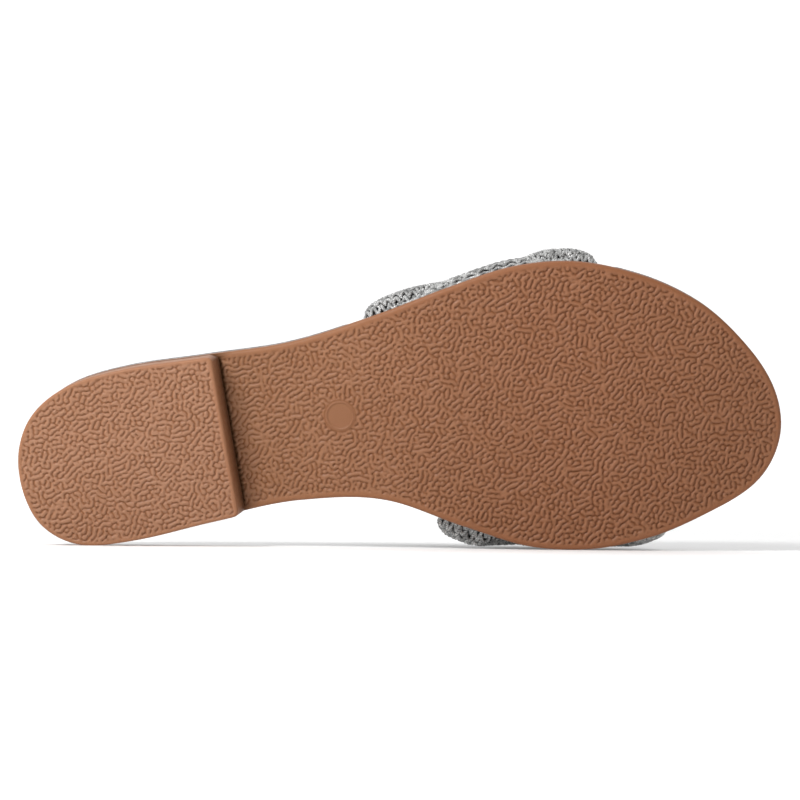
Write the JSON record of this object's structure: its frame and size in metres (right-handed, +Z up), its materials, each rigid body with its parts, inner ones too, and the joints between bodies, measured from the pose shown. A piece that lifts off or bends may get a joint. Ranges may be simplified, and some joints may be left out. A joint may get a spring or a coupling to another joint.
{
  "type": "braided slide sandal",
  "caption": "Flat right slide sandal lying on its inner side: grained tan rubber outsole and low heel, padded insole, and a wide hollow strap plaited from knitted bands.",
  "frame": {"origin": "middle of the bounding box, on the floor that the sandal lies on", "axes": "+X runs along the sole from heel to toe, -Y is the side that the tread faces, +Z is up, away from the floor under the sandal's inner side"},
  "size_m": [0.2446, 0.0734, 0.0964],
  "materials": {
    "tan_rubber": "satin tan rubber with a moulded worm grain on its tread",
    "heel_rubber": "satin tan rubber with a moulded worm grain on its tread",
    "grey_glitter_fabric": "fine grey cloth with a metallic glint",
    "silver_knit": "coarse knit of grey metallic yarn over a dark lining"
  },
  "bodies": {
    "root": {"outsole": "tan_rubber", "heel": "heel_rubber", "insole": "grey_glitter_fabric", "upper": "silver_knit"}
  },
  "joints": []
}
